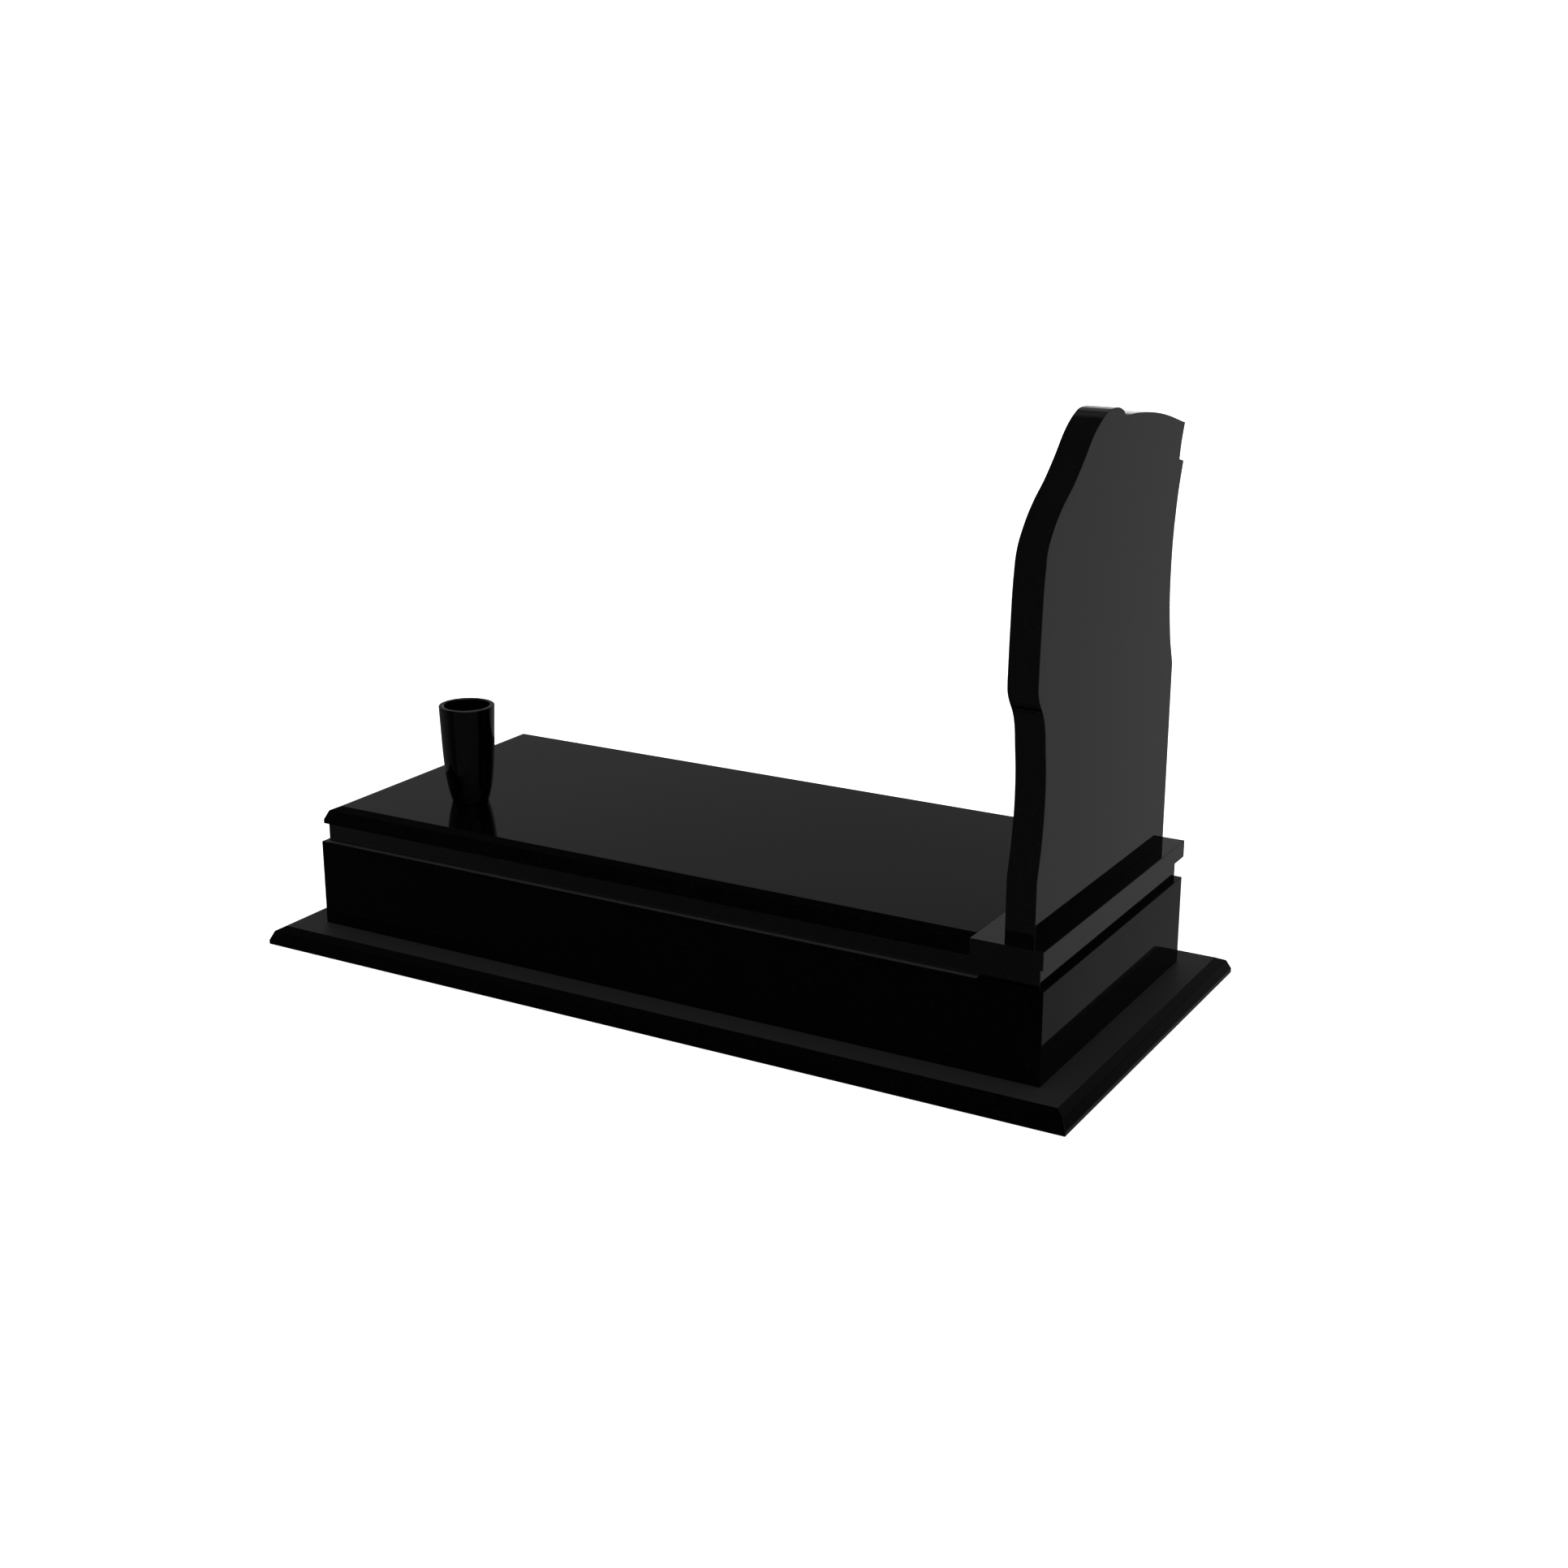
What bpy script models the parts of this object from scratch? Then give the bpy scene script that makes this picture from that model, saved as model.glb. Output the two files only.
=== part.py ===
"""Single-grave monument in polished black granite, with a free-form headstone.

The frame has X across the grave, Y along it with the headstone at +Y, and Z up.
The origin is the centre of the base slab's underside. All sizes are in metres.
"""
import math

import bmesh
import bpy

# Clearance kept between stones that touch, so that their meshes never share a face.
JOINT = 0.0003
# Small flat ground along the sharp edges of a polished stone, and the angle
# from which an edge counts as sharp.
ARRIS = 0.0015
ARRIS_ANGLE = math.radians(35)
# Points of one mesh closer than this are one point.
WELD_DISTANCE = 0.00005

# Base slab on the ground.
SLAB_WIDTH = 1.000
SLAB_LENGTH = 2.100
SLAB_THICKNESS = 0.0425

# Faceted edge shared by the base slab and the ledger: an upright band,
# a steep facet above it, then a wide shallow facet up to the flat top.
EDGE_BAND = 0.010
EDGE_STEEP_RISE = 0.022
EDGE_STEEP_INSET = 0.010
EDGE_SHALLOW_INSET = 0.0215

# Plain block that stands on the slab.
PLINTH_WIDTH = 0.800
PLINTH_LENGTH = 1.900
PLINTH_HEIGHT = 0.210

# Low slab between the plinth and the cover, set back on every side.
NECK_SETBACK = 0.0135
NECK_HEIGHT = 0.0465

# Cover slab, and the square block across its head end.
LEDGER_WIDTH = 0.800
LEDGER_THICKNESS = 0.0405
LEDGER_FOOT_SETBACK = 0.010
HEAD_BLOCK_WIDTH = 0.811
HEAD_BLOCK_DEPTH = 0.163

# Headstone: width at its foot, height at the top of its crest, thickness,
# and how far its back stands in from the back of the head block.
STONE_WIDTH = 0.727
STONE_HEIGHT = 1.042
STONE_THICKNESS = 0.067
STONE_BACK_SETBACK = 0.038
STONE_CURVE_STEPS = 7

# Turned vase near the foot.
VASE_HEIGHT = 0.240
VASE_RIM_RADIUS = 0.0675
VASE_FOOT_RADIUS = 0.0435
VASE_WALL = 0.012
VASE_FLOOR = 0.022
VASE_OFF_CENTRE = 0.172
VASE_FROM_FOOT = 0.272
VASE_RIM_ROUND = 0.002
# Part of the vase's flare that is a straight taper; the rest is the curve at the foot.
VASE_TAPER_SHARE = 0.4
VASE_CURVE_POWER = 5
# Rings crowd towards the foot, where the outline curves most, by this power.
VASE_RING_CROWDING = 1.5
VASE_RINGS = 12
VASE_SIDES = 48

# Heights of the beds, from the ground up.
PLINTH_BED = SLAB_THICKNESS + JOINT
NECK_BED = PLINTH_BED + PLINTH_HEIGHT + JOINT
LEDGER_BED = NECK_BED + NECK_HEIGHT + JOINT
LEDGER_TOP = LEDGER_BED + LEDGER_THICKNESS

# Places along the grave.
PLINTH_HEAD = PLINTH_LENGTH / 2
HEAD_BLOCK_FRONT = PLINTH_HEAD - HEAD_BLOCK_DEPTH
LEDGER_FOOT = -PLINTH_LENGTH / 2 + LEDGER_FOOT_SETBACK
LEDGER_HEAD = HEAD_BLOCK_FRONT - JOINT

# Colour and roughness of the two polishes: the deep black of the cover, plinth,
# slab and vase, and the greyer black of the headstone, its block and the neck.
COVER_COLOUR = (0.012, 0.012, 0.013)
COVER_ROUGHNESS = 0.08
UPRIGHT_COLOUR = (0.016, 0.016, 0.017)
UPRIGHT_ROUGHNESS = 0.10

SMOOTH = "AUTO"
CORNER = "VECTOR"

# Outline of the headstone seen from behind, +X first, as shares of half the
# foot width and of the height. A corner breaks the line, the rest is one curve.
STONE_WAISTED_SIDE = (
    (1.000, 0.000, CORNER),
    (1.000, 0.121, CORNER),
    (0.954, 0.193, SMOOTH),
    (0.926, 0.298, SMOOTH),
    (0.946, 0.384, SMOOTH),
    (0.975, 0.441, SMOOTH),
    (1.068, 0.499, SMOOTH),
    (1.074, 0.518, CORNER),
    (1.060, 0.624, SMOOTH),
)
STONE_SHOULDER = (
    (1.034, 0.729, SMOOTH),
    (1.006, 0.768, SMOOTH),
    (0.933, 0.806, SMOOTH),
    (0.818, 0.845, SMOOTH),
    (0.665, 0.883, SMOOTH),
    (0.539, 0.921, SMOOTH),
    (0.416, 0.960, SMOOTH),
)
STONE_CREST = (
    (0.300, 0.987, SMOOTH),
    (0.165, 1.000, SMOOTH),
    (0.066, 0.996, SMOOTH),
    (0.019, 0.990, SMOOTH),
    (-0.033, 0.979, CORNER),
    (-0.285, 0.973, SMOOTH),
    (-0.601, 0.956, SMOOTH),
    (-0.996, 0.922, CORNER),
)
STONE_HOLLOW_SIDE = (
    (-0.955, 0.883, SMOOTH),
    (-0.935, 0.850, CORNER),
    (-1.006, 0.844, CORNER),
    (-0.939, 0.768, SMOOTH),
    (-0.891, 0.624, SMOOTH),
    (-0.933, 0.480, SMOOTH),
    (-1.000, 0.408, CORNER),
    (-1.000, 0.000, CORNER),
)


def clear_scene():
    """Removes whatever the scene holds."""
    for thing in list(bpy.data.objects):
        bpy.data.objects.remove(thing, do_unlink=True)


def make_collection(name):
    """Returns a new collection linked to the scene."""
    collection = bpy.data.collections.new(name)
    bpy.context.scene.collection.children.link(collection)
    return collection


def granite(name, colour, roughness):
    """Returns a polished stone material."""
    material = bpy.data.materials.new(name)
    material.use_nodes = True
    shader = material.node_tree.nodes["Principled BSDF"]
    shader.inputs["Base Color"].default_value = (*colour, 1.0)
    shader.inputs["Roughness"].default_value = roughness
    shader.inputs["Metallic"].default_value = 0.0
    return material


def place(collection, name, data, material):
    """Links a new object made from mesh or curve data, and returns it."""
    piece = bpy.data.objects.new(name, data)
    data.materials.append(material)
    collection.objects.link(piece)
    return piece


def box_bmesh(width, depth, height, front, bed):
    """Returns a bmesh box centred on X, from front along +Y and from bed up."""
    bm = bmesh.new()
    bmesh.ops.create_cube(bm, size=1.0)
    bmesh.ops.scale(bm, vec=(width, depth, height), verts=bm.verts)
    centre = (0.0, front + depth / 2, bed + height / 2)
    bmesh.ops.translate(bm, vec=centre, verts=bm.verts)
    return bm


def finish_bmesh(bm, name):
    """Turns a bmesh into a mesh and frees it."""
    mesh = bpy.data.meshes.new(name)
    bm.to_mesh(mesh)
    bm.free()
    return mesh


def add_arris(piece):
    """Grinds the small flat along a stone's sharp edges."""
    bevel = piece.modifiers.new("arris", "BEVEL")
    bevel.width = ARRIS
    bevel.segments = 1
    bevel.limit_method = "ANGLE"
    bevel.angle_limit = ARRIS_ANGLE


def plain_block(collection, name, width, depth, height, front, bed, material):
    """Makes a square block with a ground arris."""
    mesh = finish_bmesh(box_bmesh(width, depth, height, front, bed), name)
    piece = place(collection, name, mesh, material)
    add_arris(piece)
    return piece


def raise_facets(bm, thickness):
    """Steps the top face in and up twice, which makes the two facets of the edge."""
    shallow_rise = thickness - EDGE_BAND - EDGE_STEEP_RISE
    for inset, rise in ((EDGE_STEEP_INSET, EDGE_STEEP_RISE), (EDGE_SHALLOW_INSET, shallow_rise)):
        bm.faces.ensure_lookup_table()
        top = max(bm.faces, key=lambda face: face.calc_center_median().z)
        bmesh.ops.inset_region(bm, faces=[top], thickness=inset, depth=rise, use_even_offset=True)


def cut_square(bm, y):
    """Cuts a bmesh flat at y and closes the cut, keeping what lies before it."""
    geometry = bm.verts[:] + bm.edges[:] + bm.faces[:]
    cut = bmesh.ops.bisect_plane(
        bm, geom=geometry, dist=WELD_DISTANCE, plane_co=(0.0, y, 0.0), plane_no=(0.0, 1.0, 0.0), clear_outer=True)
    rim = [item for item in cut["geom_cut"] if isinstance(item, bmesh.types.BMEdge)]
    bmesh.ops.edgeloop_fill(bm, edges=rim)


def make_base_slab(collection, material):
    """Makes the slab on the ground, faceted on all four sides."""
    bm = box_bmesh(SLAB_WIDTH, SLAB_LENGTH, EDGE_BAND, -SLAB_LENGTH / 2, 0.0)
    raise_facets(bm, SLAB_THICKNESS)
    return place(collection, "base_slab", finish_bmesh(bm, "base_slab"), material)


def make_plinth(collection, material):
    """Makes the plain block on the slab."""
    return plain_block(collection, "plinth_block", PLINTH_WIDTH, PLINTH_LENGTH, PLINTH_HEIGHT,
                       -PLINTH_HEAD, PLINTH_BED, material)


def make_neck(collection, material):
    """Makes the low slab that is set back from the plinth on every side."""
    return plain_block(collection, "neck_slab", PLINTH_WIDTH - 2 * NECK_SETBACK,
                       PLINTH_LENGTH - 2 * NECK_SETBACK, NECK_HEIGHT,
                       -PLINTH_HEAD + NECK_SETBACK, NECK_BED, material)


def make_ledger(collection, material):
    """Makes the cover slab: faceted at its foot and sides, square at the head block."""
    spare = EDGE_STEEP_INSET + EDGE_SHALLOW_INSET + HEAD_BLOCK_DEPTH
    length = LEDGER_HEAD - LEDGER_FOOT
    bm = box_bmesh(LEDGER_WIDTH, length + spare, EDGE_BAND, LEDGER_FOOT, LEDGER_BED)
    raise_facets(bm, LEDGER_THICKNESS)
    cut_square(bm, LEDGER_HEAD)
    return place(collection, "ledger", finish_bmesh(bm, "ledger"), material)


def make_head_block(collection, material):
    """Makes the square block that carries the headstone, level with the ledger."""
    return plain_block(collection, "headstone_base", HEAD_BLOCK_WIDTH, HEAD_BLOCK_DEPTH,
                       LEDGER_THICKNESS, HEAD_BLOCK_FRONT, LEDGER_BED, material)


def make_headstone(collection, material):
    """Makes the upright stone: one closed outline, extruded by the stone's thickness."""
    curve = bpy.data.curves.new("headstone", "CURVE")
    curve.dimensions = "2D"
    curve.fill_mode = "BOTH"
    curve.extrude = STONE_THICKNESS / 2
    curve.resolution_u = STONE_CURVE_STEPS
    outline = STONE_WAISTED_SIDE + STONE_SHOULDER + STONE_CREST + STONE_HOLLOW_SIDE
    spline = curve.splines.new("BEZIER")
    spline.bezier_points.add(len(outline) - 1)
    spline.use_cyclic_u = True
    for point, (across, up, kind) in zip(spline.bezier_points, outline):
        point.co = (across * STONE_WIDTH / 2, up * STONE_HEIGHT, 0.0)
        point.handle_left_type = kind
        point.handle_right_type = kind
    piece = place(collection, "headstone", curve, material)
    middle = PLINTH_HEAD - STONE_BACK_SETBACK - STONE_THICKNESS / 2
    piece.location = (0.0, middle, LEDGER_TOP + JOINT)
    piece.rotation_euler = (math.pi / 2, 0.0, 0.0)
    weld = piece.modifiers.new("weld", "WELD")
    weld.merge_threshold = WELD_DISTANCE
    add_arris(piece)
    return piece


def vase_radius(share):
    """Returns the vase's outer radius at a share of its height."""
    left = 1.0 - share
    drawn_in = VASE_TAPER_SHARE * left + (1.0 - VASE_TAPER_SHARE) * left ** VASE_CURVE_POWER
    return VASE_RIM_RADIUS - (VASE_RIM_RADIUS - VASE_FOOT_RADIUS) * drawn_in


def vase_profile():
    """Returns the vase's section: up the inside, over the rim and down the outside."""
    points = [(0.0, VASE_FLOOR)]
    inner_top = VASE_HEIGHT - VASE_RIM_ROUND
    for ring in range(VASE_RINGS + 1):
        height = VASE_FLOOR + (inner_top - VASE_FLOOR) * ring / VASE_RINGS
        points.append((vase_radius(height / VASE_HEIGHT) - VASE_WALL, height))
    points.append((VASE_RIM_RADIUS - VASE_WALL + VASE_RIM_ROUND, VASE_HEIGHT))
    points.append((VASE_RIM_RADIUS - VASE_RIM_ROUND, VASE_HEIGHT))
    for ring in range(VASE_RINGS, -1, -1):
        height = inner_top * (ring / VASE_RINGS) ** VASE_RING_CROWDING
        points.append((vase_radius(height / VASE_HEIGHT), height))
    points.append((0.0, 0.0))
    return points


def make_vase(collection, material):
    """Makes the hollow turned vase."""
    mesh = bpy.data.meshes.new("vase")
    profile = vase_profile()
    edges = [(index, index + 1) for index in range(len(profile) - 1)]
    mesh.from_pydata([(radius, 0.0, height) for radius, height in profile], edges, [])
    piece = place(collection, "vase", mesh, material)
    piece.location = (VASE_OFF_CENTRE, LEDGER_FOOT + VASE_FROM_FOOT, LEDGER_TOP + JOINT)
    turn = piece.modifiers.new("turn", "SCREW")
    turn.axis = "Z"
    turn.angle = math.tau
    turn.steps = VASE_SIDES
    turn.render_steps = VASE_SIDES
    turn.use_merge_vertices = True
    turn.merge_threshold = WELD_DISTANCE
    return piece


def main():
    """Builds the monument."""
    clear_scene()
    monument = make_collection("grave_monument")
    cover_polish = granite("black_granite_cover", COVER_COLOUR, COVER_ROUGHNESS)
    upright_polish = granite("black_granite_upright", UPRIGHT_COLOUR, UPRIGHT_ROUGHNESS)
    make_base_slab(monument, cover_polish)
    make_plinth(monument, cover_polish)
    make_neck(monument, upright_polish)
    make_ledger(monument, cover_polish)
    make_head_block(monument, upright_polish)
    make_headstone(monument, upright_polish)
    make_vase(monument, cover_polish)


main()
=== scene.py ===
"""Dresses a single-grave monument in polished black granite and sets up its studio.

The frame has X across the grave, Y along it with the headstone at +Y, and Z up.
All sizes are in metres.
"""
from __future__ import annotations

import logging
import math
from dataclasses import dataclass, field
from enum import Enum, IntEnum
from typing import Any

import bmesh
import bpy
from mathutils import Matrix, Vector

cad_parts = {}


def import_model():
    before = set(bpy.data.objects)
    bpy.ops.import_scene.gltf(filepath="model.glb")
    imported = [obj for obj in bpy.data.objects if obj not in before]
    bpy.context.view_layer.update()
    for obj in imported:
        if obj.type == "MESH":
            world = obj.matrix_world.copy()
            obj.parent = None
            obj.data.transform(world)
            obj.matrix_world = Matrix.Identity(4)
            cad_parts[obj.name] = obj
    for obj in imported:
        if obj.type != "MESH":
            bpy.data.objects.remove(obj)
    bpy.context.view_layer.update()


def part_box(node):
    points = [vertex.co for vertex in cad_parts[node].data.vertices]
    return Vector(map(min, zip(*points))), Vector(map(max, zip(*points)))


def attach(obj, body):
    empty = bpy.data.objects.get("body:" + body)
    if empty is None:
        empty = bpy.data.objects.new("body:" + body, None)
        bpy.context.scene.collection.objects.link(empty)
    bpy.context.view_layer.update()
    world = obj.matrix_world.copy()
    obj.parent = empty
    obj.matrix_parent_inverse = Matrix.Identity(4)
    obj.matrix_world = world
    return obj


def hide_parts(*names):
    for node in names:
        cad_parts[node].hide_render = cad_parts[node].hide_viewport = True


logging.basicConfig(level=logging.INFO, format="%(name)s: %(message)s")
log = logging.getLogger("monument")

BODY = "root"
# Points of one mesh closer than this are one point.
WELD_DISTANCE = 0.00002
# Half of one step between whole numbers, which keeps a test or a count clear of rounding.
HALF_STEP = 0.5


class Slot(Enum):
    """The record's two material slots."""

    COVER = "cover_granite"
    UPRIGHT = "upright_granite"


class Bend(Enum):
    """How the headstone's outline passes a point."""

    SMOOTH = "AUTO"
    CORNER = "VECTOR"


class Ring(IntEnum):
    """Rings of a faceted slab's section, from the middle of its foot to the middle of its flat."""

    FOOT_MIDDLE = 0
    FOOT = 1
    BAND_TOP = 2
    STEEP_TOP = 3
    FLAT_EDGE = 4
    FLAT_MIDDLE = 5


class Term:
    """One output socket of a node, with the arithmetic of its tree."""

    def __init__(self, graph: Graph, socket: bpy.types.NodeSocket) -> None:
        """Wraps a socket of a graph.

        Args:
            graph: The graph that the socket's node is in.
            socket: The output socket.
        """
        self.graph = graph
        self.socket = socket

    def _math(self, operation: str, *values: Term | float) -> Term:
        """Returns a Math node's result."""
        return self.graph.node("ShaderNodeMath", {"operation": operation}, dict(enumerate(values)))

    def __add__(self, other: Term | float) -> Term:
        """Returns self + other."""
        return self._math("ADD", self, other)

    def __radd__(self, other: float) -> Term:
        """Returns other + self."""
        return self._math("ADD", other, self)

    def __sub__(self, other: Term | float) -> Term:
        """Returns self - other."""
        return self._math("SUBTRACT", self, other)

    def __rsub__(self, other: float) -> Term:
        """Returns other - self."""
        return self._math("SUBTRACT", other, self)

    def __mul__(self, other: Term | float) -> Term:
        """Returns self * other."""
        return self._math("MULTIPLY", self, other)

    def __rmul__(self, other: float) -> Term:
        """Returns other * self."""
        return self._math("MULTIPLY", other, self)

    def __truediv__(self, other: Term | float) -> Term:
        """Returns self / other."""
        return self._math("DIVIDE", self, other)

    def __pow__(self, other: Term | float) -> Term:
        """Returns self ** other."""
        return self._math("POWER", self, other)

    def __mod__(self, other: Term | float) -> Term:
        """Returns the remainder of self / other."""
        return self._math("MODULO", self, other)

    def above(self, limit: Term | float) -> Term:
        """Returns 1 where self is over a limit, and 0 elsewhere."""
        return self._math("GREATER_THAN", self, limit)

    def reaches(self, count: int) -> Term:
        """Returns 1 where self, a whole number, is at least count, and 0 elsewhere."""
        return self.above(count - HALF_STEP)

    def floor(self) -> Term:
        """Returns self rounded down."""
        return self._math("FLOOR", self)

    def sine(self) -> Term:
        """Returns the sine of self."""
        return self._math("SINE", self)

    def cosine(self) -> Term:
        """Returns the cosine of self."""
        return self._math("COSINE", self)

    def ramp(self, low: float, high: float) -> Term:
        """Returns 0 at low and 1 at high, with a soft start and end."""
        limits = {"Value": self, "From Min": low, "From Max": high}
        return self.graph.node("ShaderNodeMapRange", {"interpolation_type": "SMOOTHSTEP"}, limits)


class Graph:
    """A node tree of a material, the world or a modifier, built by one method."""

    def __init__(self, tree: bpy.types.NodeTree) -> None:
        """Takes a node tree and empties it.

        Args:
            tree: The tree to build in.
        """
        self.tree = tree
        tree.nodes.clear()

    def node(self, kind: str, settings: dict[str, Any], values: dict[str | int, Any],
             out: str | int = 0) -> Term | None:
        """Adds a node and returns one of its outputs.

        Args:
            kind: The node's type.
            settings: Its own properties, set before its sockets.
            values: A number, colour, vector or Term for each input, by name or place.
            out: The output wanted, by name or place.

        Returns:
            The output as a Term, or None for a node without outputs.
        """
        made = self.tree.nodes.new(kind)
        for name, value in settings.items():
            setattr(made, name, value)
        for name, value in values.items():
            for one in value if isinstance(value, list) else [value]:
                self._feed(made.inputs[name], one)
        return Term(self, made.outputs[out]) if made.outputs else None

    def _feed(self, socket: bpy.types.NodeSocket, value: Any) -> None:
        """Links a Term to an input socket, or sets the socket to a plain value."""
        if isinstance(value, Term):
            self.tree.links.new(value.socket, socket)
        else:
            socket.default_value = value

    def xyz(self, vector: Term) -> tuple[Term, Term, Term]:
        """Returns the three parts of a vector."""
        parts = self.node("ShaderNodeSeparateXYZ", {}, {0: vector}).socket.node.outputs
        return Term(self, parts[0]), Term(self, parts[1]), Term(self, parts[2])

    def vector(self, x: Term | float, y: Term | float, z: Term | float) -> Term:
        """Returns a vector made of three numbers."""
        return self.node("ShaderNodeCombineXYZ", {}, {0: x, 1: y, 2: z})


def grey(value: float, warmth: float = 0.0) -> tuple[float, float, float, float]:
    """Returns an opaque grey, a little warmer or cooler.

    Args:
        value: The brightness.
        warmth: Share by which red rises and blue falls.

    Returns:
        The colour.
    """
    return (value * (1.0 + warmth), value, value * (1.0 - warmth), 1.0)


@dataclass(frozen=True)
class Granite:
    """Black granite: a dark ground with fine feldspar and mica crystals, polished or honed.

    Sizes of crystals and clouds are in metres. Flat tops that lie lower than honed_below
    are honed instead of polished. Those over ledge_from are a ledge whose honed colour is
    made paler as a painted highlight, and which is polished past ledge_until along Y.
    """

    name: str
    ior: float
    honed_below: float
    ground: float = 0.0001
    crystal: float = 0.0018
    honed_ground: float = 0.0062
    # Honed ground of the ledge, made paler by a painted highlight.
    ledge_ground_with_highlight: float = 0.013
    ledge_from: float = 0.1
    ledge_until: float = 0.80
    polished_roughness: float = 0.03
    crystal_roughness: float = 0.04
    honed_roughness: float = 0.60
    crystal_size: float = 0.0018
    fleck_size: float = 0.0060
    cloud_size: float = 0.12
    polish_wave: float = 0.00003
    level: float = 0.98
    cloud_detail: float = 2.0
    cloud_limits: tuple[float, float] = (0.3, 0.7)
    cloud_share: float = 0.45
    crystal_limits: tuple[float, float] = (0.78, 1.0)
    crystal_least: float = 0.3
    crystal_spread: float = 0.5
    fleck_limits: tuple[float, float] = (0.94, 1.0)
    fleck_weight: float = 0.4
    tint: float = 0.03

    def material(self) -> bpy.types.Material:
        """Builds the stone.

        Returns:
            The material.
        """
        made = bpy.data.materials.new(self.name)
        made.use_nodes = True
        graph = Graph(made.node_tree)
        place = graph.node("ShaderNodeTexCoord", {}, {}, "Object")
        crystals = self._crystals(graph, place)
        cloud = graph.node("ShaderNodeTexNoise", {}, {
            "Vector": place, "Scale": 1.0 / self.cloud_size, "Detail": self.cloud_detail})
        honed = self._honed(graph, place)
        shade = crystals * (1.0 - self.cloud_share + self.cloud_share * cloud.ramp(*self.cloud_limits))
        polished = self._mix(graph, shade, grey(self.ground, -self.tint), grey(self.crystal, self.tint))
        _, _, height = graph.xyz(place)
        # Painted highlight: the ledge above ledge_from gets a paler honed colour than the other honed
        # tops.
        ledge = height.above(self.ledge_from)
        honed_and_ledge_highlight = self._mix(graph, ledge, grey(self.honed_ground), grey(self.ledge_ground_with_highlight))
        colour = self._mix(graph, honed, polished, honed_and_ledge_highlight)
        roughness = (self.polished_roughness + self.crystal_roughness * crystals
                     + (self.honed_roughness - self.polished_roughness) * honed)
        wave = graph.node("ShaderNodeBump", {}, {
            "Strength": 1.0, "Distance": self.polish_wave, "Height": cloud})
        surface = graph.node("ShaderNodeBsdfPrincipled", {}, {
            "Base Color": colour, "Roughness": roughness, "Normal": wave, "IOR": self.ior})
        graph.node("ShaderNodeOutputMaterial", {}, {"Surface": surface})
        return made

    @staticmethod
    def _mix(graph: Graph, share: Term, first: Any, second: Any) -> Term:
        """Returns a colour that goes from first to second with share."""
        return graph.node("ShaderNodeMix", {"data_type": "RGBA"}, {0: share, 6: first, 7: second}, 2)

    def _crystals(self, graph: Graph, place: Term) -> Term:
        """Returns 0 on the dark ground and up to 1 on a crystal."""
        chance, size, _ = self._cells(graph, place, self.crystal_size)
        rare, _, _ = self._cells(graph, place, self.fleck_size)
        fine = chance.ramp(*self.crystal_limits) * (self.crystal_least + self.crystal_spread * size)
        return fine + self.fleck_weight * rare.ramp(*self.fleck_limits)

    @staticmethod
    def _cells(graph: Graph, place: Term, size: float) -> tuple[Term, Term, Term]:
        """Returns three random numbers for each cell of a size."""
        cells = {"Vector": place, "Scale": 1.0 / size}
        return graph.xyz(graph.node("ShaderNodeTexVoronoi", {}, cells, "Color"))

    def _honed(self, graph: Graph, place: Term) -> Term:
        """Returns 1 on flat tops lower than honed_below but for the ledge's head end."""
        _, _, up = graph.xyz(graph.node("ShaderNodeNewGeometry", {}, {}, "Normal"))
        _, along, height = graph.xyz(place)
        head_ledge = height.above(self.ledge_from) * along.above(self.ledge_until)
        polished = height.above(self.honed_below) + head_ledge
        return up.above(self.level) * (1.0 - polished).above(HALF_STEP)


COVER_STONE = Granite("cover_black_granite", ior=1.36, honed_below=0.29)
UPRIGHT_STONE = Granite("upright_black_granite", ior=2.40, honed_below=0.0)
VASE_STONE = Granite("vase_black_granite", ior=1.58, honed_below=0.0)


def dress(name: str, mesh: bpy.types.Mesh, material: bpy.types.Material,
          node: str) -> bpy.types.Object:
    """Puts a finished mesh in the scene in place of a plain solid.

    Args:
        name: The piece's name.
        mesh: Its mesh, in place.
        material: Its finish.
        node: The plain solid that it stands for.

    Returns:
        The piece.
    """
    mesh.materials.clear()
    mesh.materials.append(material)
    piece = bpy.data.objects.new(name, mesh)
    bpy.context.scene.collection.objects.link(piece)
    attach(piece, BODY)
    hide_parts(node)
    log.info("%s: %d faces", name, len(mesh.polygons))
    return piece


def evaluated_mesh(piece: bpy.types.Object) -> bpy.types.Mesh:
    """Turns an object with its modifiers into a plain mesh.

    Args:
        piece: The object, which is removed.

    Returns:
        The mesh, in place.
    """
    bpy.context.view_layer.update()
    mesh = bpy.data.meshes.new_from_object(piece.evaluated_get(bpy.context.evaluated_depsgraph_get()))
    mesh.transform(piece.matrix_world)
    bpy.data.objects.remove(piece, do_unlink=True)
    return mesh


def scene_object(name: str, data: bpy.types.ID) -> bpy.types.Object:
    """Returns a new object in the scene for some mesh, curve, light or camera data."""
    made = bpy.data.objects.new(name, data)
    bpy.context.scene.collection.objects.link(made)
    return made


@dataclass(frozen=True)
class Arris:
    """The fine round along a polished stone's sharp edges."""

    width: float = 0.0012
    segments: int = 3
    sharp_from: float = math.radians(40)

    def grind(self, mesh: bpy.types.Mesh) -> bpy.types.Mesh:
        """Rounds a mesh's sharp edges and shades it, with its flats kept flat.

        Args:
            mesh: A closed mesh.

        Returns:
            The rounded mesh.
        """
        mesh.shade_smooth()
        piece = scene_object("grinding", mesh)
        bevel = piece.modifiers.new("arris", "BEVEL")
        bevel.width = self.width
        bevel.segments = self.segments
        bevel.limit_method = "ANGLE"
        bevel.angle_limit = self.sharp_from
        bevel.harden_normals = True
        return evaluated_mesh(piece)


BLOCK_ARRIS = Arris()
SLAB_ARRIS = Arris(width=0.0008, segments=2, sharp_from=math.radians(12))
HEADSTONE_ARRIS = Arris(width=0.0009)
VASE_ARRIS = Arris(width=0.0022, segments=4, sharp_from=math.radians(50))


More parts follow.
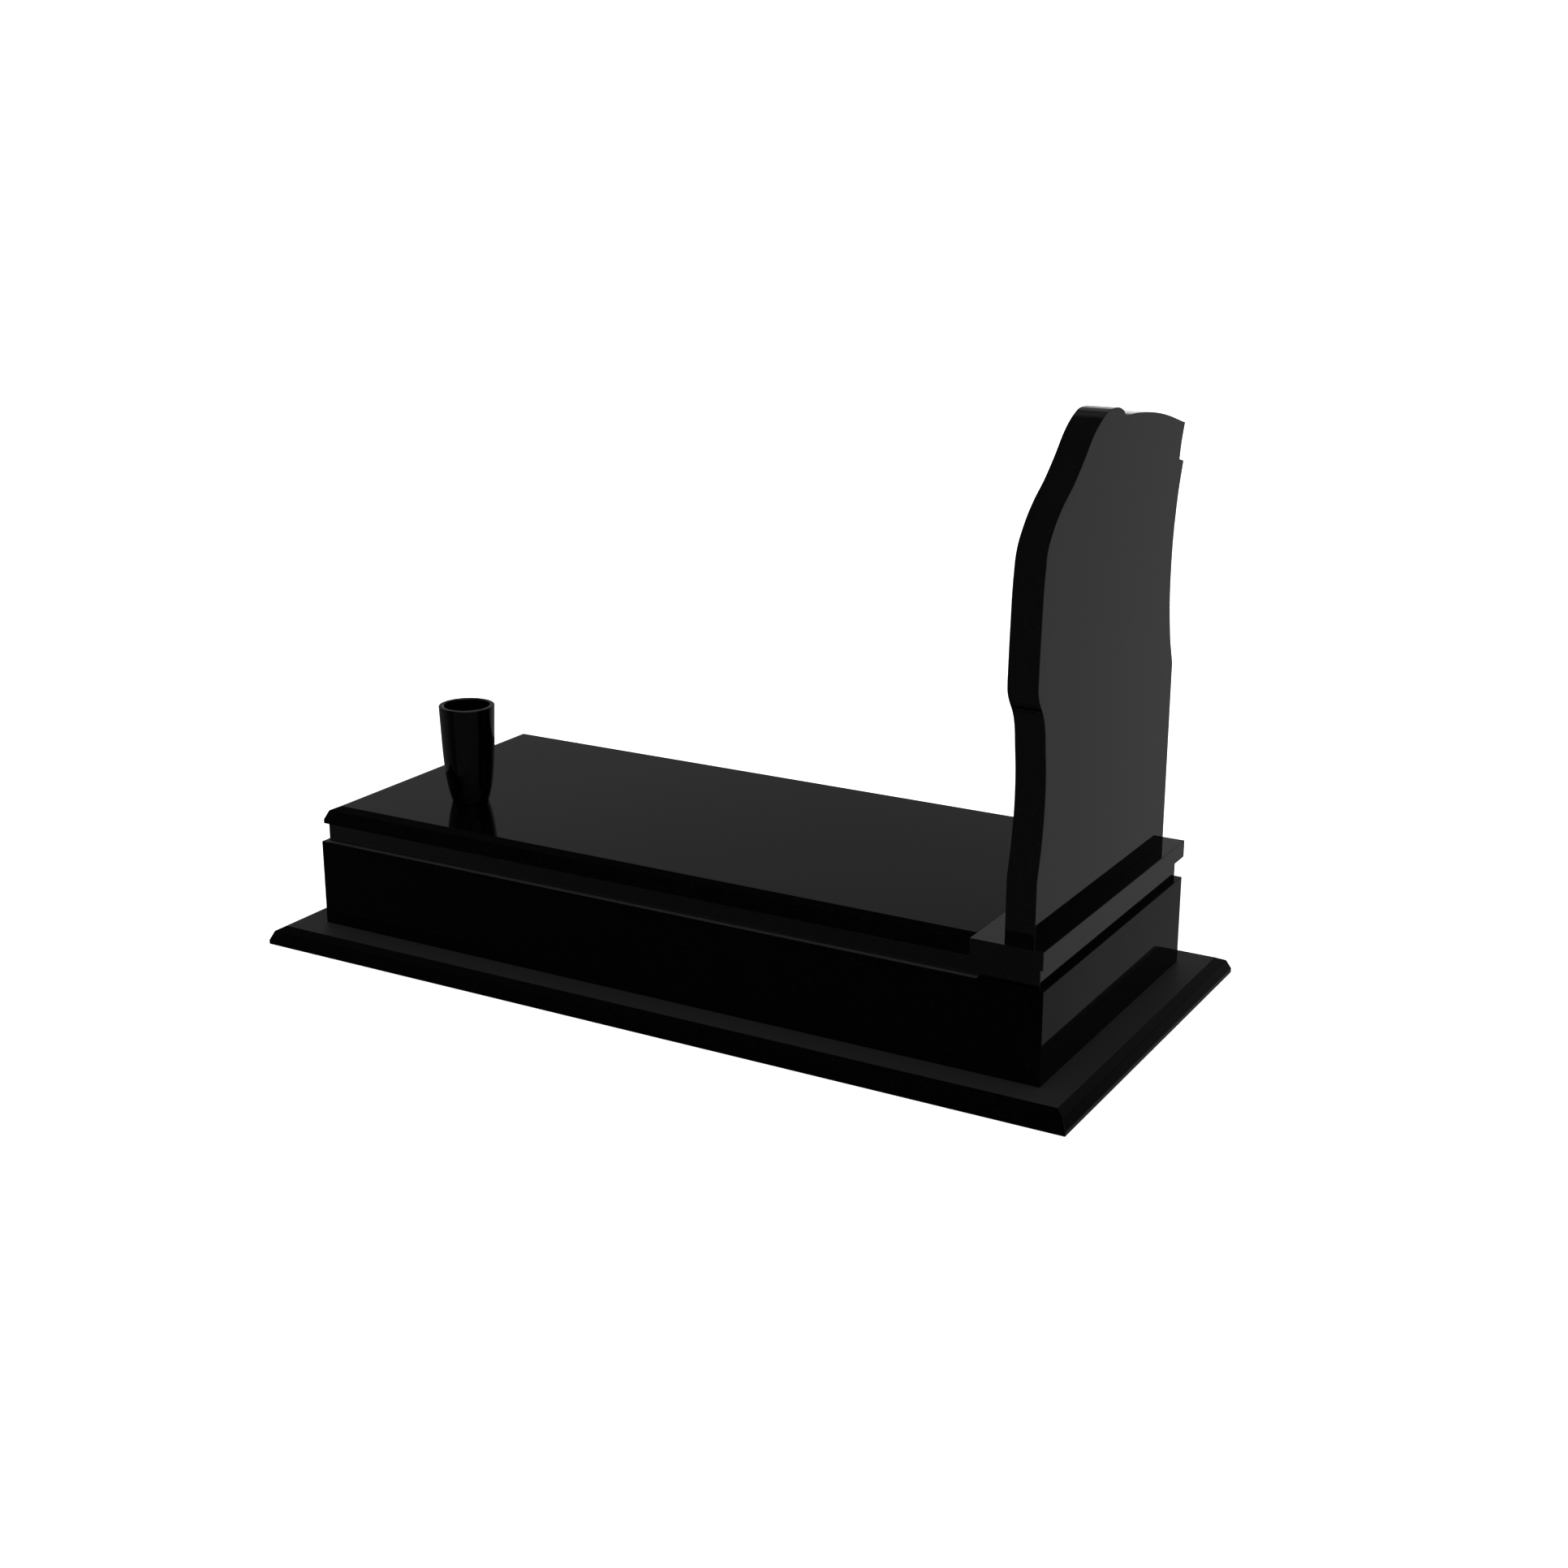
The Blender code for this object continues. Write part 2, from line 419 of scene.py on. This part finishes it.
@dataclass
class TreeInputs:
    """A Geometry Nodes tree in the making, with named inputs for its sizes."""

    name: str
    sizes: dict[str, float]
    tree: bpy.types.NodeTree = field(init=False)
    graph: Graph = field(init=False)
    terms: dict[str, Term] = field(init=False)

    def __post_init__(self) -> None:
        """Makes the tree, its sockets and its group input."""
        self.tree = bpy.data.node_groups.new(self.name, "GeometryNodeTree")
        self.tree.interface.new_socket("Geometry", in_out="OUTPUT", socket_type="NodeSocketGeometry")
        for label in self.sizes:
            self.tree.interface.new_socket(label, in_out="INPUT", socket_type="NodeSocketFloat")
        self.graph = Graph(self.tree)
        outputs = self.graph.node("NodeGroupInput", {}, {}).socket.node.outputs
        self.terms = {label: Term(self.graph, outputs[label]) for label in self.sizes}

    def sheet(self, columns: int, rows: int) -> tuple[Term, Term, Term]:
        """Adds a sheet of points to be placed by rule.

        Args:
            columns: Points across, which run round the piece.
            rows: Points along, which run up the piece.

        Returns:
            The sheet, and each point's column and row as fields.
        """
        grid = self.graph.node("GeometryNodeMeshGrid", {}, {"Vertices X": columns, "Vertices Y": rows})
        # Half a step more keeps a point's number clear of the rounding at a whole row.
        index = self.graph.node("GeometryNodeInputIndex", {}, {}) + HALF_STEP
        return grid, (index / float(rows)).floor(), index % float(rows) - HALF_STEP

    def place(self, sheet: Term, x: Term, y: Term, z: Term) -> Term:
        """Puts a sheet's points where the rule says."""
        spot = self.graph.vector(x, y, z)
        return self.graph.node("GeometryNodeSetPosition", {}, {"Geometry": sheet, "Position": spot})

    def mesh(self, parts: list[Term], material: bpy.types.Material) -> bpy.types.Mesh:
        """Joins the parts into one closed mesh.

        Args:
            parts: The placed sheets.
            material: The finish.

        Returns:
            The mesh.
        """
        joined = self.graph.node("GeometryNodeJoinGeometry", {}, {"Geometry": parts})
        welded = self.graph.node("GeometryNodeMergeByDistance", {}, {
            "Geometry": joined, "Distance": WELD_DISTANCE})
        real = self.graph.node("GeometryNodeRealizeInstances", {}, {"Geometry": welded})
        dressed = {"Geometry": real, "Material": material}
        finished = self.graph.node("GeometryNodeSetMaterial", {}, dressed)
        self.graph.node("NodeGroupOutput", {}, {"Geometry": finished})
        piece = scene_object(self.name, bpy.data.meshes.new(self.name))
        modifier = piece.modifiers.new(self.name, "NODES")
        modifier.node_group = self.tree
        for item in self.tree.interface.items_tree:
            if item.in_out == "INPUT":
                modifier[item.identifier] = self.sizes[item.name]
        return evaluated_mesh(piece)


def mend(mesh: bpy.types.Mesh) -> None:
    """Removes edges without length and turns a closed mesh's faces outwards."""
    bm = bmesh.new()
    bm.from_mesh(mesh)
    bmesh.ops.dissolve_degenerate(bm, dist=WELD_DISTANCE, edges=bm.edges)
    bmesh.ops.recalc_face_normals(bm, faces=bm.faces)
    bm.to_mesh(mesh)
    bm.free()


@dataclass
class Block:
    """A square block that fills the box of its plain solid."""

    node: str
    slot: Slot
    arris: Arris = BLOCK_ARRIS

    def build(self, material: bpy.types.Material) -> bpy.types.Object:
        """Builds the block.

        Args:
            material: Its finish.

        Returns:
            The piece.
        """
        low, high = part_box(self.node)
        bm = bmesh.new()
        bmesh.ops.create_cube(bm, size=1.0)
        bmesh.ops.scale(bm, vec=high - low, verts=bm.verts)
        bmesh.ops.translate(bm, vec=(low + high) / 2, verts=bm.verts)
        mesh = bpy.data.meshes.new(self.node)
        bm.to_mesh(mesh)
        bm.free()
        return dress(f"{self.node}_stone", self.arris.grind(mesh), material, self.node)


@dataclass
class FacetedSlab:
    """A slab whose edge has an upright band, a steep facet and a shallow facet."""

    node: str
    slot: Slot
    square_head: bool = False
    band: float = 0.010
    steep_rise: float = 0.022
    steep_inset: float = 0.010
    shallow_inset: float = 0.0215
    corners: int = 4
    arris: Arris = SLAB_ARRIS

    def build(self, material: bpy.types.Material) -> bpy.types.Object:
        """Builds the slab, and cuts its head end square where it has one.

        Args:
            material: Its finish.

        Returns:
            The piece.
        """
        low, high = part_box(self.node)
        spare = 2 * (self.steep_inset + self.shallow_inset) if self.square_head else 0.0
        mesh = self._stepped(high.x - low.x, high.y - low.y + spare, high.z - low.z, material)
        mesh.transform(Matrix.Translation(((low.x + high.x) / 2, (low.y + high.y + spare) / 2, low.z)))
        mend(mesh)
        if self.square_head:
            self._cut(mesh, high.y)
        return dress(f"{self.node}_stone", self.arris.grind(mesh), material, self.node)

    def _stepped(self, width: float, length: float, thickness: float,
                 material: bpy.types.Material) -> bpy.types.Mesh:
        """Runs a rectangle up the edge's profile, in at each facet.

        Args:
            width: Size along X.
            length: Size along Y.
            thickness: Size along Z.
            material: The finish.

        Returns:
            The closed slab, centred on its foot.
        """
        tree = TreeInputs(f"{self.node}_profile", {
            "Width": width, "Length": length, "Thickness": thickness,
            "Band": self.band, "Steep Rise": self.steep_rise,
            "Steep Inset": self.steep_inset, "Shallow Inset": self.shallow_inset})
        size = tree.terms
        sheet, corner, ring = tree.sheet(self.corners + 1, len(Ring))
        turn = (corner + HALF_STEP) * (math.tau / self.corners)
        steep, shallow = ring.reaches(Ring.STEEP_TOP), ring.reaches(Ring.FLAT_EDGE)
        inset = size["Steep Inset"] * steep + size["Shallow Inset"] * shallow
        spread = math.sqrt(2) * ring.reaches(Ring.FOOT) * (1.0 - ring.reaches(Ring.FLAT_MIDDLE))
        shallow_rise = size["Thickness"] - size["Band"] - size["Steep Rise"]
        height = (size["Band"] * ring.reaches(Ring.BAND_TOP) + size["Steep Rise"] * steep
                  + shallow_rise * shallow)
        across = turn.cosine() * (size["Width"] / 2.0 - inset) * spread
        along = turn.sine() * (size["Length"] / 2.0 - inset) * spread
        return tree.mesh([tree.place(sheet, across, along, height)], material)

    @staticmethod
    def _cut(mesh: bpy.types.Mesh, y: float) -> None:
        """Cuts a mesh flat at y and closes the cut, keeping what lies before it."""
        bm = bmesh.new()
        bm.from_mesh(mesh)
        cut = bmesh.ops.bisect_plane(
            bm, geom=bm.verts[:] + bm.edges[:] + bm.faces[:], dist=WELD_DISTANCE,
            plane_co=(0.0, y, 0.0), plane_no=(0.0, 1.0, 0.0), clear_outer=True)
        rim = [item for item in cut["geom_cut"] if isinstance(item, bmesh.types.BMEdge)]
        bmesh.ops.edgeloop_fill(bm, edges=rim)
        bmesh.ops.recalc_face_normals(bm, faces=bm.faces)
        bm.to_mesh(mesh)
        bm.free()


@dataclass
class Headstone:
    """The upright stone with its free outline.

    The outline is seen from behind, +X first, as shares of half the foot width and of the
    height. A corner breaks the line, and the rest is one curve.
    """

    node: str = "headstone"
    foot_width: float = 0.727
    height: float = 1.042
    curve_steps: int = 14
    flat_within: float = math.radians(0.05)
    face_level: float = 0.99
    arris: Arris = HEADSTONE_ARRIS
    waisted_side: tuple[tuple[float, float, Bend], ...] = (
        (1.000, 0.000, Bend.CORNER),
        (1.000, 0.121, Bend.CORNER),
        (0.954, 0.193, Bend.SMOOTH),
        (0.926, 0.298, Bend.SMOOTH),
        (0.946, 0.384, Bend.SMOOTH),
        (0.975, 0.441, Bend.SMOOTH),
        (1.068, 0.499, Bend.SMOOTH),
        (1.074, 0.518, Bend.CORNER),
        (1.060, 0.624, Bend.SMOOTH),
    )
    shoulder: tuple[tuple[float, float, Bend], ...] = (
        (1.034, 0.729, Bend.SMOOTH),
        (1.006, 0.768, Bend.SMOOTH),
        (0.933, 0.806, Bend.SMOOTH),
        (0.818, 0.845, Bend.SMOOTH),
        (0.665, 0.883, Bend.SMOOTH),
        (0.539, 0.921, Bend.SMOOTH),
        (0.416, 0.962, Bend.SMOOTH),
    )
    crest: tuple[tuple[float, float, Bend], ...] = (
        (0.331, 0.982, Bend.SMOOTH),
        (0.270, 0.992, Bend.SMOOTH),
        (0.240, 0.996, Bend.SMOOTH),
        (0.160, 0.9985, Bend.SMOOTH),
        (0.080, 0.997, Bend.SMOOTH),
        (0.030, 0.992, Bend.SMOOTH),
        (0.002, 0.987, Bend.SMOOTH),
        (-0.028, 0.973, Bend.CORNER),
        (-0.110, 0.976, Bend.SMOOTH),
        (-0.285, 0.973, Bend.SMOOTH),
        (-0.601, 0.958, Bend.SMOOTH),
        (-0.998, 0.924, Bend.CORNER),
    )
    hollow_side: tuple[tuple[float, float, Bend], ...] = (
        (-0.955, 0.883, Bend.SMOOTH),
        (-0.935, 0.850, Bend.CORNER),
        (-1.006, 0.844, Bend.CORNER),
        (-0.939, 0.768, Bend.SMOOTH),
        (-0.891, 0.624, Bend.SMOOTH),
        (-0.933, 0.480, Bend.SMOOTH),
        (-1.000, 0.408, Bend.CORNER),
        (-1.000, 0.000, Bend.CORNER),
    )

    def build(self, material: bpy.types.Material) -> bpy.types.Object:
        """Builds the stone between the front and back of its plain solid.

        Args:
            material: Its finish.

        Returns:
            The piece.
        """
        low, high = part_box(self.node)
        curve = bpy.data.curves.new(self.node, "CURVE")
        curve.dimensions = "2D"
        curve.fill_mode = "BOTH"
        curve.extrude = (high.y - low.y) / 2
        curve.resolution_u = self.curve_steps
        outline = self.waisted_side + self.shoulder + self.crest + self.hollow_side
        spline = curve.splines.new("BEZIER")
        spline.bezier_points.add(len(outline) - 1)
        spline.use_cyclic_u = True
        for point, (across, up, bend) in zip(spline.bezier_points, outline):
            point.co = (across * self.foot_width / 2, up * self.height, 0.0)
            point.handle_left_type = bend.value
            point.handle_right_type = bend.value
        piece = scene_object("headstone_outline", curve)
        piece.location = (0.0, (low.y + high.y) / 2, low.z)
        piece.rotation_euler = (math.pi / 2, 0.0, 0.0)
        mesh = evaluated_mesh(piece)
        self._close(mesh)
        return dress("headstone_stone", self.arris.grind(mesh), material, self.node)

    def _close(self, mesh: bpy.types.Mesh) -> None:
        """Joins the two faces to the sides, and makes each of them one flat face."""
        bm = bmesh.new()
        bm.from_mesh(mesh)
        bmesh.ops.remove_doubles(bm, verts=bm.verts, dist=WELD_DISTANCE)
        inner = [edge for edge in bm.edges if self._within_a_face(edge)]
        bmesh.ops.dissolve_edges(bm, edges=inner, use_verts=False)
        bmesh.ops.recalc_face_normals(bm, faces=bm.faces)
        bm.to_mesh(mesh)
        bm.free()

    def _within_a_face(self, edge: bmesh.types.BMEdge) -> bool:
        """Returns whether an edge lies inside the flat front or back, and not on its rim."""
        return (edge.is_manifold and edge.calc_face_angle() < self.flat_within
                and all(abs(face.normal.y) > self.face_level for face in edge.link_faces))


@dataclass
class Vase:
    """The hollow turned vase."""

    node: str = "vase"
    foot_radius: float = 0.0435
    wall: float = 0.012
    floor: float = 0.022
    taper_share: float = 0.4
    curve_power: float = 5.0
    sides: int = 96
    rings: int = 28
    flat_rings: int = 2
    ring_crowding: float = 1.4
    arris: Arris = VASE_ARRIS
    tree: TreeInputs = field(init=False)

    def build(self, material: bpy.types.Material) -> bpy.types.Object:
        """Turns the vase's outside, rim, well, floor and underside, and welds them.

        Args:
            material: Its finish.

        Returns:
            The piece.
        """
        low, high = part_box(self.node)
        self.tree = TreeInputs("vase_turning", {
            "Rim Radius": (high.x - low.x) / 2, "Foot Radius": self.foot_radius,
            "Height": high.z - low.z, "Wall": self.wall, "Floor": self.floor,
            "Centre X": (low.x + high.x) / 2, "Centre Y": (low.y + high.y) / 2, "Foot Z": low.z})
        size = self.tree.terms
        outside, share = self._turn(self.rings)
        well, depth = self._turn(self.rings)
        rim, across = self._turn(self.flat_rings)
        bottom, inward = self._turn(self.flat_rings)
        underside, outward = self._turn(self.flat_rings)
        level = size["Floor"] / size["Height"]
        up = level + (1.0 - level) * depth
        crowded = share ** self.ring_crowding
        parts = [
            self._placed(outside, self._radius(crowded), crowded * size["Height"]),
            self._placed(rim, size["Rim Radius"] - size["Wall"] * across, size["Height"]),
            self._placed(well, self._radius(up) - size["Wall"], up * size["Height"]),
            self._placed(bottom, (self._radius(level) - size["Wall"]) * inward, size["Floor"]),
            self._placed(underside, size["Foot Radius"] * outward, 0.0),
        ]
        mesh = self.tree.mesh(parts, material)
        mend(mesh)
        return dress("vase_stone", self.arris.grind(mesh), material, self.node)

    def _turn(self, rows: int) -> tuple[tuple[Term, Term], Term]:
        """Returns a sheet with its angle, and the share of the way along its rows."""
        sheet, column, row = self.tree.sheet(self.sides + 1, rows)
        return (sheet, column * (math.tau / self.sides)), row / float(rows - 1)

    def _radius(self, share: Term) -> Term:
        """Returns the outer radius at a share of the height."""
        left = 1.0 - share
        drawn_in = self.taper_share * left + (1.0 - self.taper_share) * left ** self.curve_power
        size = self.tree.terms
        return size["Rim Radius"] - (size["Rim Radius"] - size["Foot Radius"]) * drawn_in

    def _placed(self, turned: tuple[Term, Term], radius: Term, height: Term | float) -> Term:
        """Places a turned sheet by its radius and its height above the foot."""
        sheet, angle = turned
        size = self.tree.terms
        return self.tree.place(sheet, size["Centre X"] + radius * angle.cosine(),
                               size["Centre Y"] + radius * angle.sine(), size["Foot Z"] + height)


@dataclass(frozen=True)
class Lobe:
    """A soft patch of brightness in the studio's surround.

    Azimuth runs from +X towards +Y. The patch is full within inner degrees of its middle
    and gone past outer degrees.
    """

    azimuth: float
    elevation: float
    inner: float
    outer: float
    strength: float

    def direction(self) -> Vector:
        """Returns the direction of the patch's middle."""
        turn, rise = math.radians(self.azimuth), math.radians(self.elevation)
        level = math.cos(rise)
        return Vector((math.cos(turn) * level, math.sin(turn) * level, math.sin(rise)))


@dataclass
class Studio:
    """The camera, floor, lights and surround.

    The last patch is the bright horizon that the headstone's crest mirrors, and the one
    before it lights the ledger for a camera at its foot.
    """

    camera_place: tuple[float, float, float] = (4.18128, 2.53009, 1.95295)
    camera_yaw: float = math.radians(120.0)
    camera_pitch: float = math.radians(17.229)
    lens: float = 50.0
    sensor: float = 36.0
    floor_size: float = 400.0
    floor_gap: float = 0.0005
    floor_shade: float = 0.9
    floor_roughness: float = 0.9
    surround_base: float = 0.0157
    backdrop: float = 1.05
    sky_strength: float = 6.0
    sky_angle: float = math.radians(150.0)
    lobes: tuple[Lobe, ...] = (
        Lobe(azimuth=203.3, elevation=16.1, inner=8.2, outer=44.7, strength=0.1257),
        Lobe(azimuth=181.2, elevation=-11.8, inner=0.2, outer=40.8, strength=0.1792),
        Lobe(azimuth=45.7, elevation=48.6, inner=7.5, outer=50.7, strength=0.5284),
        Lobe(azimuth=42.9, elevation=-17.5, inner=58.0, outer=62.0, strength=0.0326),
        Lobe(azimuth=266.2, elevation=1.3, inner=16.1, outer=62.8, strength=0.0588),
        Lobe(azimuth=100.0, elevation=40.0, inner=5.0, outer=32.0, strength=0.12),
        Lobe(azimuth=211.0, elevation=-4.0, inner=14.0, outer=19.5, strength=0.70),
    )

    def build(self) -> None:
        """Builds the whole studio."""
        self._camera()
        self._floor()
        self._surround()
        self._sky_lamp()

    def _camera(self) -> None:
        """Sets the camera where the photograph was taken from."""
        data = bpy.data.cameras.new("camera")
        data.lens = self.lens
        data.sensor_width = self.sensor
        camera = scene_object("camera", data)
        camera.location = self.camera_place
        camera.rotation_euler = (math.pi / 2 - self.camera_pitch, 0.0, self.camera_yaw)
        bpy.context.scene.camera = camera

    def _floor(self) -> None:
        """Lays a plain pale floor, left out of the stone's mirror images."""
        mesh = bpy.data.meshes.new("floor")
        bm = bmesh.new()
        bmesh.ops.create_grid(bm, x_segments=1, y_segments=1, size=self.floor_size / 2)
        bmesh.ops.translate(bm, vec=(0.0, 0.0, -self.floor_gap), verts=bm.verts)
        bm.to_mesh(mesh)
        bm.free()
        material = bpy.data.materials.new("pale_floor")
        material.use_nodes = True
        graph = Graph(material.node_tree)
        finish = {"Base Color": grey(self.floor_shade), "Roughness": self.floor_roughness}
        surface = graph.node("ShaderNodeBsdfPrincipled", {}, finish)
        graph.node("ShaderNodeOutputMaterial", {}, {"Surface": surface})
        mesh.materials.append(material)
        floor = scene_object("floor", mesh)
        floor.visible_glossy = False

    def _surround(self) -> None:
        """Lights the stone from all round with soft patches, before a white backdrop."""
        world = bpy.data.worlds.new("surround")
        world.use_nodes = True
        bpy.context.scene.world = world
        graph = Graph(world.node_tree)
        ray = graph.node("ShaderNodeTexCoord", {}, {}, "Generated")
        bright: Term | float = self.surround_base
        for lobe in self.lobes:
            values = {0: ray, 1: lobe.direction()}
            facing = graph.node("ShaderNodeVectorMath", {"operation": "DOT_PRODUCT"}, values, "Value")
            outer, inner = math.cos(math.radians(lobe.outer)), math.cos(math.radians(lobe.inner))
            bright = lobe.strength * facing.ramp(outer, inner) + bright
        mirrored = graph.node("ShaderNodeBackground", {}, {"Color": grey(1.0), "Strength": bright})
        plain = graph.node("ShaderNodeBackground", {}, {"Color": grey(1.0), "Strength": self.backdrop})
        seen = graph.node("ShaderNodeLightPath", {}, {}, "Is Camera Ray")
        shown = graph.node("ShaderNodeMixShader", {}, {0: seen, 1: mirrored, 2: plain})
        graph.node("ShaderNodeOutputWorld", {}, {"Surface": shown})

    def _sky_lamp(self) -> None:
        """Lights the floor evenly from overhead, with a lamp that the stone doesn't mirror."""
        data = bpy.data.lights.new("sky_lamp", "SUN")
        data.energy = self.sky_strength
        data.angle = self.sky_angle
        lamp = scene_object("sky_lamp", data)
        lamp.visible_glossy = False
        lamp.visible_camera = False


def main() -> None:
    """Builds the monument and its studio."""
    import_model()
    cover, upright, turned = COVER_STONE.material(), UPRIGHT_STONE.material(), VASE_STONE.material()
    FacetedSlab("base_slab", Slot.COVER).build(cover)
    Block("plinth_block", Slot.COVER).build(cover)
    Block("neck_slab", Slot.UPRIGHT).build(upright)
    FacetedSlab("ledger", Slot.COVER, square_head=True).build(cover)
    Block("headstone_base", Slot.UPRIGHT).build(upright)
    Headstone().build(upright)
    Vase().build(turned)
    Studio().build()
    bpy.context.scene.view_settings.view_transform = "Standard"


if __name__ == "__main__":
    main()
